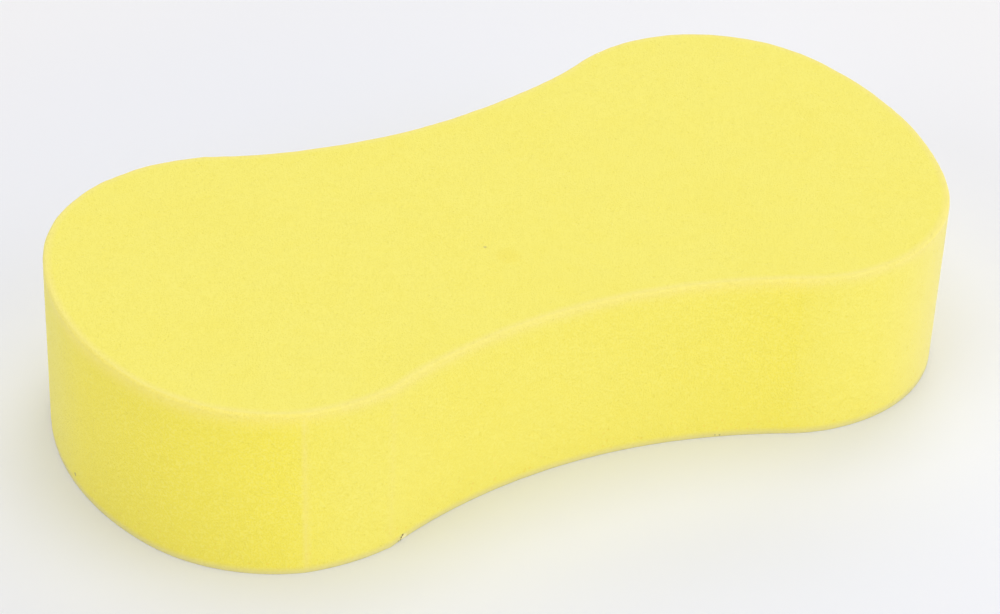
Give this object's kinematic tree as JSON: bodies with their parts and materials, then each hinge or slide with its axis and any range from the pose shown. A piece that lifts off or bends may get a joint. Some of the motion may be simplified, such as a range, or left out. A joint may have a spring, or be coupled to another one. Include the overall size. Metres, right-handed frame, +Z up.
{
  "type": "cleaning sponge",
  "caption": "Figure-eight foam sponge, one thick slab with a wide lobe, a waist to grip and a narrower lobe with flat-cut shoulders, softened along its rims.",
  "frame": {"origin": "middle of the underside, on the surface that the sponge lies on", "axes": "+X along the sponge's length to the tip of the large lobe, +Y across it, +Z up through its thickness"},
  "size_m": [0.22, 0.1134, 0.0445],
  "materials": {
    "foam": "pale yellow open-cell foam, matt and finely pored"
  },
  "bodies": {
    "root": {"sponge": "foam"}
  },
  "joints": []
}
